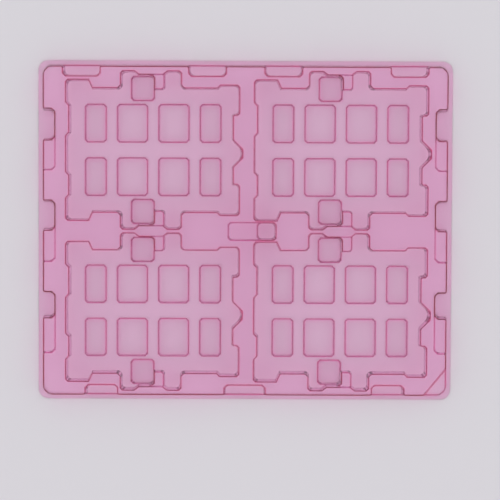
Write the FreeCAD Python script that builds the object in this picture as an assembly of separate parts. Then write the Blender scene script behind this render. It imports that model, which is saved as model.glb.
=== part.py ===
"""Thermoformed handling tray: one clear tinted sheet, drawn up into a stiff body with four shaped pockets.

Millimetres, +Z up. The origin is on the plane that the tray stands on, under the middle of the tray.
Plan sizes of the body, the pockets, the slot and the notches are true at the tray's top face.
"""
import FreeCAD, Part
import os
import math

# Sheet and levels, heights measured from the plane that the tray stands on
SHEET = 0.9               # thickness of the formed sheet
HEIGHT = 18.6             # top face of the rails
POCKET_FLOOR = 6.6        # floor of the pockets and of the slot's deep end
WELL_FLOOR = 1.5          # bottom of the wells sunk in the pocket floors
EDGE_LEDGE = 6.4          # ledges in the front and back edges and under the cut corner
SIDE_DROP = 6.1           # from the top face down to the side ledges and the slot's shallow end
TONGUE_DROP = 4.0         # from the top face down to the tongues
DRAFT = 5.0               # lean of every wall, degrees

# Body and flange
COLUMNS = 2
ROWS = 2
LEFT_RAIL = 19.9          # body's left edge to the pockets
RIGHT_RAIL = 17.3         # pockets to the body's right edge
BAR_X = 13.4              # rail between the columns
BAR_Y = 33.3              # rail between the rows, from shoulder to shoulder
END_RAIL = 19.1           # shoulders to the body's front and back edges
BODY_CORNER = 8.5
FLANGE = 3.7              # foot of the body wall to the trimmed edge
CUT_CORNER_X = 19.0       # orientation key: the cut front right corner
CUT_CORNER_Y = 23.0
CUT_CORNER_ROUND = 2.5

# Pocket plan
POCKET_X = 149.7
POCKET_Y = 106.7          # between the shoulders
POCKET_ROUND = 3.0        # main corners
STEP_ROUND = 2.0          # corners of the steps in the walls
HEEL_X = 19.3             # deeper left end of a pocket
HEEL_SLOPE = 3.4
HEEL_Y = 7.15
TOE_X = 16.2              # deeper right end
TOE_SLOPE = 2.5
TOE_Y = 2.55
TAB_X = 52.0              # large bay in the middle of the front and back walls
TAB_Y = 14.65
TAB_SHIFT = -1.4          # its middle from the pocket's middle
TAB_ROUND = 4.5           # where its sides meet the shoulders
LIP_X = 20.8              # shallower middle of a bay
LIP_Y = 3.0
LIP_SLOPE = 4.0
LEFT_STEP = 2.8           # keys on the left wall
LEFT_SLOPE = 3.0
LEFT_KEYS = ((13.6, 40.1), (-40.3, -20.2))
RIGHT_STEP = 5.4          # key on the right wall, with the finger bay in it
RIGHT_KEY = (-29.6, 30.7)
FINGER_REACH = 11.6       # where the finger bay's sides would meet
FINGER_Y = -2.75
FINGER_ROUND = 10.0

# Wells in a pocket's floor, plan sizes true at that floor
WELL_ROUND = 3.0
INNER_WELL_X = 25.5
OUTER_WELL_X = 17.3
WELL_Y = 32.0
WELL_GAP_X = 10.5
WELL_GAP_Y = 14.5
SQUARE_X = 19.1
SQUARE_Y = 20.3
SQUARE_SHIFT = -9.0       # middle of the square wells from the pocket's middle
SQUARE_SETBACK = 0.4      # from the foot of the bay's wall
TONGUE_X = 9.5
TONGUE_Y = 12.5           # out from the bay's wall
TONGUE_ROUND = 3.3
TONGUE_ROOT = 6.0         # how far its block runs on into the bay's wall

# Slot in the middle of the tray
SLOT_LEFT = -14.3
SLOT_RIGHT = 26.4
SLOT_DIVIDER = 10.4
SLOT_Y = 14.6
SLOT_ROUND = 3.0

# Notches in the sides: each is open to the flange at the back and has a ledge at the front
NOTCH_DEPTH = 10.0
NOTCH_ROUND = 4.5
NOTCH_EDGE_ROUND = 2.0
NOTCH_PITCH = 79.3
NOTCH_Y = 52.4
NOTCH_DIVIDERS = (3.0, 0.0, -1.0)   # from the middle of each notch, front to back

# Recesses in the front and back edges: (middle, length)
RECESS_DEPTH = 8.4
RECESS_ROUND = 4.0
BACK_RECESSES = ((-141.8, 31.8), (-32.9, 31.8), (32.9, 31.8), (141.8, 31.8))
FRONT_RECESSES = ((-124.4, 27.6), (0.0, 35.0), (124.4, 27.6))

# Construction
OVER = 1.0                # how far the cutting solids pass the faces they cut
SIDE_SHARE = 0.5          # most of a side that one corner's rounding may take
SMALLEST_ROUND = 0.2
NEAR = 0.001              # two places closer than this are the same

SLOPE = math.tan(math.radians(DRAFT))
POCKET_PITCH_X = POCKET_X + BAR_X
POCKET_PITCH_Y = POCKET_Y + BAR_Y
BODY_X = LEFT_RAIL + COLUMNS * POCKET_X + (COLUMNS - 1) * BAR_X + RIGHT_RAIL
BODY_Y = 2 * END_RAIL + ROWS * POCKET_Y + (ROWS - 1) * BAR_Y
SIDE_LEDGE = HEIGHT - SIDE_DROP
TONGUE_TOP = HEIGHT - TONGUE_DROP


def bend(corners, i):
    """Directions into and out of a corner, half the angle turned there, and whether it turns left."""
    before, corner, after = corners[i - 1], corners[i], corners[(i + 1) % len(corners)]
    arriving = FreeCAD.Vector(corner[0] - before[0], corner[1] - before[1], 0)
    leaving = FreeCAD.Vector(after[0] - corner[0], after[1] - corner[1], 0)
    half_turn = arriving.getAngle(leaving) / 2
    turns_left = arriving.x * leaving.y > arriving.y * leaving.x
    return arriving, leaving, half_turn, turns_left


def held_radius(corners, i):
    """The corner's radius, held back where the sides beside it are too short for it."""
    arriving, leaving, half_turn, _ = bend(corners, i)
    room = SIDE_SHARE * min(arriving.Length, leaving.Length)
    return min(corners[i][2], room / math.tan(half_turn))


def ring(corners, grow, level, skin, flat):
    """Points of an outline at one level, with every side moved out by grow.

    Where flat is set, one flat stands in for the round of each corner and touches its middle. On the sheet's
    lower skin it keeps the sheet's thickness behind the round.
    """
    points = []
    for i, corner in enumerate(corners):
        arriving, leaving, half_turn, turns_left = bend(corners, i)
        radius = held_radius(corners, i) + (skin if turns_left else -skin)
        arriving.normalize()
        leaving.normalize()
        outward = FreeCAD.Vector(arriving.y + leaving.y, -arriving.x - leaving.x, 0)
        here = FreeCAD.Vector(corner[0], corner[1], level) + outward * (grow / (1 + arriving.dot(leaving)))
        if flat and corner[2] > 0:
            setback = max(radius, SMALLEST_ROUND) * (1 / math.cos(half_turn) - 1) / math.sin(half_turn)
            points += [here - arriving * setback, here + leaving * setback]
        else:
            points.append(here)
    return points


def walled(low_ring, high_ring):
    """Solid with flat walls between two rings of points."""
    low_ring = low_ring + low_ring[:1]
    high_ring = high_ring + high_ring[:1]
    faces = [Part.Face(Part.makePolygon(low_ring[::-1])), Part.Face(Part.makePolygon(high_ring))]
    for i in range(len(low_ring) - 1):
        corners = [low_ring[i], low_ring[i + 1], high_ring[i + 1], high_ring[i], low_ring[i]]
        faces.append(Part.Face(Part.makePolygon(corners)))
    shell = Part.makeShell(faces)
    shell.sewShape()
    return Part.makeSolid(shell)


def posts(corners, foot_ring, head_ring):
    """Standing edges to round: (foot, head, radius) for each rounded corner of an outline."""
    found = []
    for i, corner in enumerate(corners):
        if corner[2] > 0:
            found.append((foot_ring[i], head_ring[i], round(held_radius(corners, i), 6)))
    return found


def stands_on(edge, post):
    """Whether an edge runs along the line of a post."""
    foot, head, _ = post
    return all(vertex.Point.distanceToLine(foot, head - foot) < NEAR for vertex in edge.Vertexes)


def rounded(solid, standing):
    """The solid with the edges on its posts rounded, the largest radius first."""
    for radius in sorted({post[2] for post in standing}, reverse=True):
        group = [post for post in standing if post[2] == radius]
        edges = [edge for edge in solid.Edges if any(stands_on(edge, post) for post in group)]
        if edges:
            solid = solid.makeFillet(radius, edges)
    return solid


def tapered(corners, low, high, grow_low, grow_high, skin=0.0, flat=False):
    """Solid between an outline at two levels, its standing edges rounded by the corners' radii."""
    low_ring = ring(corners, grow_low, low, skin, flat)
    high_ring = ring(corners, grow_high, high, skin, flat)
    solid = walled(low_ring, high_ring)
    if flat:
        return solid
    return rounded(solid, posts(corners, low_ring, high_ring))


def raised(corners, low, high, datum, sink):
    """Block that narrows upwards, its plan true at datum, drawn in by the sheet's thickness for the lower skin."""
    skin = -sink / math.cos(math.radians(DRAFT))
    high = high - sink
    grow_low = skin + (datum - low) * SLOPE
    grow_high = skin + (datum - high) * SLOPE
    return tapered(corners, low, high, grow_low, grow_high, skin, sink > 0)


def sunk(corners, floor, high, datum, sink, flat=False):
    """Cutting solid that narrows downwards, its plan true at datum, grown by the sheet for the lower skin."""
    skin = sink / math.cos(math.radians(DRAFT))
    floor = floor - sink
    grow_floor = skin - (datum - floor) * SLOPE
    grow_high = skin - (datum - high) * SLOPE
    return tapered(corners, floor, high, grow_floor, grow_high, skin, flat or sink > 0)


def rectangle(left, right, front, back, radius):
    return [(left, front, radius), (right, front, radius), (right, back, radius), (left, back, radius)]


def moved(solid, x, y):
    return solid.translated(FreeCAD.Vector(x, y, 0))


def pocket_places():
    """Middles of the pockets."""
    first_x = -BODY_X / 2 + LEFT_RAIL + POCKET_X / 2
    first_y = -BODY_Y / 2 + END_RAIL + POCKET_Y / 2
    return [(first_x + column * POCKET_PITCH_X, first_y + row * POCKET_PITCH_Y)
            for column in range(COLUMNS) for row in range(ROWS)]


def pocket_end():
    """One end wall of a pocket, from left to right: (x, reach past the shoulders, radius)."""
    left, right = -POCKET_X / 2, POCKET_X / 2
    tab_left, tab_right = TAB_SHIFT - TAB_X / 2, TAB_SHIFT + TAB_X / 2
    lip_left, lip_right = TAB_SHIFT - LIP_X / 2, TAB_SHIFT + LIP_X / 2
    return [
        (left, HEEL_Y, POCKET_ROUND),
        (left + HEEL_X, HEEL_Y, 0),
        (left + HEEL_X + HEEL_SLOPE, 0, 0),
        (tab_left, 0, TAB_ROUND),
        (tab_left, TAB_Y, POCKET_ROUND),
        (lip_left - LIP_SLOPE, TAB_Y, 0),
        (lip_left, TAB_Y - LIP_Y, 0),
        (lip_right, TAB_Y - LIP_Y, 0),
        (lip_right + LIP_SLOPE, TAB_Y, 0),
        (tab_right, TAB_Y, POCKET_ROUND),
        (tab_right, 0, TAB_ROUND),
        (right - TOE_X - TOE_SLOPE, 0, 0),
        (right - TOE_X, TOE_Y, 0),
        (right, TOE_Y, POCKET_ROUND),
    ]


def pocket_corners():
    """Plan of a pocket about its own middle, anticlockwise from the front left."""
    shoulder = POCKET_Y / 2
    front = [(x, -shoulder - reach, radius) for x, reach, radius in pocket_end()]
    back = [(x, shoulder + reach, radius) for x, reach, radius in pocket_end()]
    wall = POCKET_X / 2
    key = wall - RIGHT_STEP
    right = [
        (wall, RIGHT_KEY[0], POCKET_ROUND),
        (key, RIGHT_KEY[0], STEP_ROUND),
        (key, FINGER_Y - FINGER_REACH, POCKET_ROUND),
        (key + FINGER_REACH, FINGER_Y, FINGER_ROUND),
        (key, FINGER_Y + FINGER_REACH, POCKET_ROUND),
        (key, RIGHT_KEY[1], STEP_ROUND),
        (wall, RIGHT_KEY[1], POCKET_ROUND),
    ]
    left = []
    for low, high in LEFT_KEYS:
        left += [
            (-wall, high + LEFT_SLOPE / 2, 0),
            (-wall + LEFT_STEP, high - LEFT_SLOPE / 2, 0),
            (-wall + LEFT_STEP, low + LEFT_SLOPE / 2, 0),
            (-wall, low - LEFT_SLOPE / 2, 0),
        ]
    return front + right + back[::-1] + left


def well_plans():
    """The eight oblong wells of a pocket."""
    inner = (WELL_GAP_X + INNER_WELL_X) / 2
    outer = inner + INNER_WELL_X / 2 + WELL_GAP_X + OUTER_WELL_X / 2
    row = (WELL_GAP_Y + WELL_Y) / 2
    plans = []
    for middle, width in ((inner, INNER_WELL_X), (outer, OUTER_WELL_X)):
        for x in (-middle, middle):
            for y in (-row, row):
                plans.append(rectangle(x - width / 2, x + width / 2, y - WELL_Y / 2, y + WELL_Y / 2, WELL_ROUND))
    return plans


def bay_fittings(sink):
    """The square well and the tongue in a pocket's back bay: (cutting solid, block), and the front pair.

    The well's cutting solid stands up to the top face, so that it also trims the tongue's left side.
    """
    bay_wall = POCKET_Y / 2 + TAB_Y - LIP_Y
    back = bay_wall - (HEIGHT - POCKET_FLOOR) * SLOPE - SQUARE_SETBACK
    square_left = SQUARE_SHIFT - SQUARE_X / 2
    square_right = SQUARE_SHIFT + SQUARE_X / 2
    square_plan = rectangle(square_left, square_right, back - SQUARE_Y, back, WELL_ROUND)
    tongue_left, tongue_right = square_right - WELL_ROUND, square_right + TONGUE_X
    tongue_plan = [
        (tongue_left, bay_wall - TONGUE_Y, 0),
        (tongue_right, bay_wall - TONGUE_Y, TONGUE_ROUND),
        (tongue_right, bay_wall + TONGUE_ROOT, 0),
        (tongue_left, bay_wall + TONGUE_ROOT, 0),
    ]
    square = sunk(square_plan, WELL_FLOOR, HEIGHT + OVER, POCKET_FLOOR, sink)
    tongue = raised(tongue_plan, 0, TONGUE_TOP, TONGUE_TOP, sink)
    front = [solid.mirror(FreeCAD.Vector(), FreeCAD.Vector(0, 1, 0)) for solid in (square, tongue)]
    return [(square, tongue), front]


def pocket(sink):
    """Cutting solid of one pocket with its wells and tongues."""
    solid = sunk(pocket_corners(), POCKET_FLOOR, HEIGHT + OVER, HEIGHT, sink)
    for square, tongue in bay_fittings(sink):
        solid = solid.cut(tongue).fuse(square)
    wells = [sunk(plan, WELL_FLOOR, POCKET_FLOOR + OVER, POCKET_FLOOR, sink, True) for plan in well_plans()]
    return solid.fuse(wells)


def slot(sink):
    """Cutting solid of the two-level slot."""
    whole = rectangle(SLOT_LEFT, SLOT_RIGHT, -SLOT_Y / 2, SLOT_Y / 2, SLOT_ROUND)
    deep = rectangle(SLOT_DIVIDER, SLOT_RIGHT, -SLOT_Y / 2, SLOT_Y / 2, SLOT_ROUND)
    shallow = sunk(whole, SIDE_LEDGE, HEIGHT + OVER, HEIGHT, sink)
    return shallow.fuse(sunk(deep, POCKET_FLOOR, HEIGHT + OVER, HEIGHT, sink))


def notch(start, end, depth, edge_round, inner_round):
    """A notch in a side: (distance along the side, depth, radius)."""
    return [(start, 0, edge_round), (start, depth, inner_round), (end, depth, inner_round), (end, 0, edge_round)]


def recesses(places):
    """Recesses along an edge, from left to right."""
    edge = []
    for middle, length in places:
        edge += notch(middle - length / 2, middle + length / 2, RECESS_DEPTH, NOTCH_EDGE_ROUND, RECESS_ROUND)
    return edge


def side_notches(has_ledges):
    """Notches along a side, from front to back: whole above the ledges, only their open part below."""
    side = []
    for i, divider in enumerate(NOTCH_DIVIDERS):
        middle = (i - (len(NOTCH_DIVIDERS) - 1) / 2) * NOTCH_PITCH
        start = middle - NOTCH_Y / 2 if has_ledges else middle + divider
        side += notch(start, middle + NOTCH_Y / 2, NOTCH_DEPTH, NOTCH_EDGE_ROUND, NOTCH_ROUND)
    return side


def body_corners(has_recesses, has_ledges):
    """Plan of the body at the top face. Lower down the recesses and then the side ledges are filled in."""
    half_x, half_y = BODY_X / 2, BODY_Y / 2
    front, back = [], []
    cut_corner = [(half_x, -half_y, BODY_CORNER)]
    if has_recesses:
        front = recesses(FRONT_RECESSES)
        back = recesses(BACK_RECESSES)
        cut_corner = [(half_x - CUT_CORNER_X, -half_y, CUT_CORNER_ROUND),
                      (half_x, -half_y + CUT_CORNER_Y, CUT_CORNER_ROUND)]
    side = side_notches(has_ledges)
    return (
        [(-half_x, -half_y, BODY_CORNER)]
        + [(along, -half_y + depth, radius) for along, depth, radius in front]
        + cut_corner
        + [(half_x - depth, along, radius) for along, depth, radius in side]
        + [(half_x, half_y, BODY_CORNER)]
        + [(along, half_y - depth, radius) for along, depth, radius in reversed(back)]
        + [(-half_x, half_y, BODY_CORNER)]
        + [(-half_x + depth, along, radius) for along, depth, radius in reversed(side)]
    )


def body(sink):
    """The raised block in three steps: up to the edge ledges, up to the side ledges and up to the top face."""
    skin = -sink / math.cos(math.radians(DRAFT))
    flat = sink > 0
    base = -OVER if flat else 0.0
    steps = [
        (body_corners(False, False), base, EDGE_LEDGE - sink),
        (body_corners(True, False), EDGE_LEDGE - sink, SIDE_LEDGE - sink),
        (body_corners(True, True), SIDE_LEDGE - sink, HEIGHT - sink),
    ]
    blocks, standing = [], []
    for corners, low, high in steps:
        low_ring = ring(corners, skin + (HEIGHT - low) * SLOPE, low, skin, flat)
        high_ring = ring(corners, skin + (HEIGHT - high) * SLOPE, high, skin, flat)
        blocks.append(walled(low_ring, high_ring))
        if not flat:
            standing += posts(corners, low_ring, high_ring)
    return rounded(blocks[0].fuse(blocks[1:]).removeSplitter(), standing)


def formed(sink):
    """Solid under the sheet's upper skin, or under its lower skin where sink is the sheet's thickness."""
    cutter = pocket(sink)
    return body(sink).cut([moved(cutter, x, y) for x, y in pocket_places()] + [slot(sink)])


def flange():
    """Flat plate under the whole body, out to the trimmed edge."""
    half_x, half_y = BODY_X / 2, BODY_Y / 2
    grow = HEIGHT * SLOPE + FLANGE
    plan = rectangle(-half_x, half_x, -half_y, half_y, BODY_CORNER)
    return tapered(plan, 0, SHEET, grow, grow)


def tray():
    return flange().fuse(formed(0)).removeSplitter().cut(formed(SHEET))


os.makedirs("parts", exist_ok=True)
tray().exportStep("parts/tray.step")
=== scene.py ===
"""Dresses the thermoformed handling tray: one clear tinted sheet on a pale floor in soft studio light.

Metres, +Z up, in the tray's own frame: the tray stands on z = 0 with its middle over the origin.
"""
import math

import bpy
from bpy.props import FloatProperty, PointerProperty, StringProperty
from mathutils import Matrix, Vector

bl_info = {
    "name": "Thermoformed tray",
    "version": (1, 0, 0),
    "blender": (4, 5, 0),
    "location": "View3D > Sidebar > Tray",
    "description": "Dresses a thermoformed handling tray and sets it on a pale floor",
    "category": "Object",
}

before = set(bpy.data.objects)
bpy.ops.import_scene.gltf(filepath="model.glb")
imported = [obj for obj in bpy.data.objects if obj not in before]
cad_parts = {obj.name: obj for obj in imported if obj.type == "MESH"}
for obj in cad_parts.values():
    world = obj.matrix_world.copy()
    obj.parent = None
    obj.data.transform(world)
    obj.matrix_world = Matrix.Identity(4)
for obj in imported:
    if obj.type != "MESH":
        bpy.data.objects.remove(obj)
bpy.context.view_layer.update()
MM = 0.001

# Heights between which the sheet's tint changes, as shares of TINT_TOP
TINT_TOP = 20.0 * MM
WELL_SHARE = 0.15
FLOOR_SHARE = 0.33
RAIL_SHARE = 0.6
BEVEL_SAMPLES = 6

FLOOR_GAP = 0.1 * MM      # keeps the floor clear of the flange's underside
FLOOR_REACH = 3.0         # from the middle to the floor's edges
LENS_X = 1.7 * MM
AIM = (4.3 * MM, -16.0 * MM, 18.6 * MM)
CAMERA_ROLL = 0.004       # radians


def linear(hex_colour):
    """A colour written as sRGB hex, as linear red, green, blue and alpha."""
    parts = [int(hex_colour[i:i + 2], 16) / 255 for i in (1, 3, 5)]
    return [c / 12.92 if c <= 0.04045 else ((c + 0.055) / 1.055) ** 2.4 for c in parts] + [1.0]


def add_node(tree, kind, settings=None, values=None, links=None):
    """Adds a node, sets its properties and input values, and links its inputs to other nodes' outputs."""
    node = tree.nodes.new(kind)
    for name, value in (settings or {}).items():
        setattr(node, name, value)
    for name, value in (values or {}).items():
        node.inputs[name].default_value = value
    for name, output in (links or {}).items():
        tree.links.new(output, node.inputs[name])
    return node


def new_material(name):
    """An empty node material and its tree."""
    material = bpy.data.materials.new(name)
    material.use_nodes = True
    material.node_tree.nodes.clear()
    return material, material.node_tree


class TraySettings(bpy.types.PropertyGroup):
    """The tray's look."""
    rail_tint: StringProperty(
        name="Rail tint", description="Surface colour of the full sheet", default="#FFF3FB")
    floor_tint: StringProperty(
        name="Floor tint", description="Surface colour where the sheet is drawn thin", default="#FFFCFE")
    well_tint: StringProperty(
        name="Well tint", description="Surface colour where it is drawn thinnest", default="#FFFFFF")
    depth_tint: StringProperty(
        name="Depth tint", description="Colour that light takes within the sheet", default="#FA16CC")
    absorb_density: FloatProperty(
        name="Depth of tint", description="How fast the sheet tints light within it", default=250.0, min=0.0)
    edge_round: FloatProperty(
        name="Edge round", description="How far the formed edges look softened", default=0.5 * MM, min=0.0,
        unit="LENGTH")
    roughness: FloatProperty(
        name="Roughness", description="Dullness of the formed skin", default=0.08, min=0.0, max=1.0,
        subtype="FACTOR")
    refraction: FloatProperty(
        name="Refractive index", description="How far the sheet bends light", default=1.5, min=1.0)


class StageSettings(bpy.types.PropertyGroup):
    """The floor, the light and the camera."""
    floor_colour: StringProperty(name="Floor colour", description="Pale matt floor", default="#D6D3D9")
    sky_strength: FloatProperty(
        name="Sky strength", description="Even light from all round", default=1.0, min=0.0)
    camera_height: FloatProperty(
        name="Camera height", description="Lens above the floor", default=1.834, unit="LENGTH")
    camera_shift_y: FloatProperty(
        name="Camera back", description="Lens behind the tray's middle", default=0.080, unit="LENGTH")
    view_angle: FloatProperty(
        name="View angle", description="Angle across the picture", default=math.radians(13.58), subtype="ANGLE")


def sheet_material(settings):
    """Thermoformed PET sheet, tinted pink.

    It looks clear and glossy, deeper in colour where light runs along the sheet, at walls and bends, and paler in
    the floors and wells, where the sheet is drawn thin.
    """
    material, tree = new_material("Thermoformed_PET_sheet")
    place = add_node(tree, "ShaderNodeNewGeometry")
    height = add_node(tree, "ShaderNodeSeparateXYZ", links={"Vector": place.outputs["Position"]})
    level = add_node(tree, "ShaderNodeMapRange", values={"From Min": 0.0, "From Max": TINT_TOP},
                     links={"Value": height.outputs["Z"]})
    tint = add_node(tree, "ShaderNodeValToRGB", links={"Fac": level.outputs["Result"]})
    ramp = tint.color_ramp
    ramp.elements[0].position = WELL_SHARE
    ramp.elements[0].color = linear(settings.well_tint)
    ramp.elements[1].position = RAIL_SHARE
    ramp.elements[1].color = linear(settings.rail_tint)
    ramp.elements.new(FLOOR_SHARE).color = linear(settings.floor_tint)
    soft_edge = add_node(tree, "ShaderNodeBevel", {"samples": BEVEL_SAMPLES}, {"Radius": settings.edge_round})
    shader = add_node(tree, "ShaderNodeBsdfPrincipled", values={
        "Roughness": settings.roughness, "IOR": settings.refraction, "Transmission Weight": 1.0,
    }, links={"Base Color": tint.outputs["Color"], "Normal": soft_edge.outputs[0]})
    depth = add_node(tree, "ShaderNodeVolumeAbsorption", values={
        "Color": linear(settings.depth_tint), "Density": settings.absorb_density,
    })
    add_node(tree, "ShaderNodeOutputMaterial", links={"Surface": shader.outputs[0], "Volume": depth.outputs[0]})
    return material


def floor_material(settings):
    """Matt pale board: even and dull, so that it shows the tray's soft shadow and no reflection."""
    material, tree = new_material("Matt_pale_board")
    shader = add_node(tree, "ShaderNodeBsdfPrincipled", values={
        "Base Color": linear(settings.floor_colour), "Roughness": 0.9})
    add_node(tree, "ShaderNodeOutputMaterial", links={"Surface": shader.outputs[0]})
    return material


def lay_floor(scene, settings):
    low, high, level = -FLOOR_REACH, FLOOR_REACH, -FLOOR_GAP
    mesh = bpy.data.meshes.new("floor")
    mesh.from_pydata([(low, low, level), (high, low, level), (high, high, level), (low, high, level)], [],
                     [(0, 1, 2, 3)])
    floor = bpy.data.objects.new("floor", mesh)
    scene.collection.objects.link(floor)
    mesh.materials.append(floor_material(settings))


def light_evenly(scene, settings):
    """Even white light from all round, which also lights the floor through the sheet."""
    world = bpy.data.worlds.new("Soft_studio")
    scene.world = world
    world.use_nodes = True
    tree = world.node_tree
    tree.nodes.clear()
    sky = add_node(tree, "ShaderNodeBackground", values={
        "Color": (1, 1, 1, 1), "Strength": settings.sky_strength})
    add_node(tree, "ShaderNodeOutputWorld", links={"Surface": sky.outputs[0]})


def place_camera(scene, settings):
    """The lens looks down on the tray, with +Y up the picture."""
    data = bpy.data.cameras.new("camera")
    data.sensor_fit = "HORIZONTAL"
    data.angle = settings.view_angle
    camera = bpy.data.objects.new("camera", data)
    scene.collection.objects.link(camera)
    lens = Vector((LENS_X, settings.camera_shift_y, settings.camera_height))
    back = (lens - Vector(AIM)).normalized()
    right = Vector((0, 1, 0)).cross(back).normalized()
    up = back.cross(right)
    turn = Matrix((right, up, back)).transposed() @ Matrix.Rotation(CAMERA_ROLL, 3, "Z")
    camera.matrix_world = Matrix.Translation(lens) @ turn.to_4x4()
    scene.camera = camera


class TRAY_OT_sheet(bpy.types.Operator):
    """Gives the tray its clear tinted sheet"""
    bl_idname = "tray.sheet"
    bl_label = "Tray sheet"

    def execute(self, context):
        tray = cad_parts["tray"]
        tray.data.materials.clear()
        tray.data.materials.append(sheet_material(context.scene.tray_settings))
        return {"FINISHED"}


class TRAY_OT_stage(bpy.types.Operator):
    """Lays the pale floor, sets the soft light and places the camera"""
    bl_idname = "tray.stage"
    bl_label = "Stage"

    def execute(self, context):
        scene = context.scene
        settings = scene.stage_settings
        scene.view_settings.view_transform = "Standard"
        scene.cycles.blur_glossy = 0.0    # keeps light that has passed the sheet as bright as it is
        lay_floor(scene, settings)
        light_evenly(scene, settings)
        place_camera(scene, settings)
        return {"FINISHED"}


class TRAY_PT_panel(bpy.types.Panel):
    """The tray's steps and settings"""
    bl_idname = "TRAY_PT_panel"
    bl_label = "Thermoformed tray"
    bl_space_type = "VIEW_3D"
    bl_region_type = "UI"
    bl_category = "Tray"

    def draw(self, context):
        for operator in OPERATORS:
            self.layout.operator(operator.bl_idname)
        for group in (context.scene.tray_settings, context.scene.stage_settings):
            for name in group.__annotations__:
                self.layout.prop(group, name)


OPERATORS = (TRAY_OT_sheet, TRAY_OT_stage)
CLASSES = (TraySettings, StageSettings, *OPERATORS, TRAY_PT_panel)


def register():
    for cls in CLASSES:
        bpy.utils.register_class(cls)
    bpy.types.Scene.tray_settings = PointerProperty(type=TraySettings)
    bpy.types.Scene.stage_settings = PointerProperty(type=StageSettings)


def unregister():
    del bpy.types.Scene.stage_settings
    del bpy.types.Scene.tray_settings
    for cls in reversed(CLASSES):
        bpy.utils.unregister_class(cls)


def main():
    register()
    bpy.ops.tray.sheet()
    bpy.ops.tray.stage()


if __name__ == "__main__":
    main()
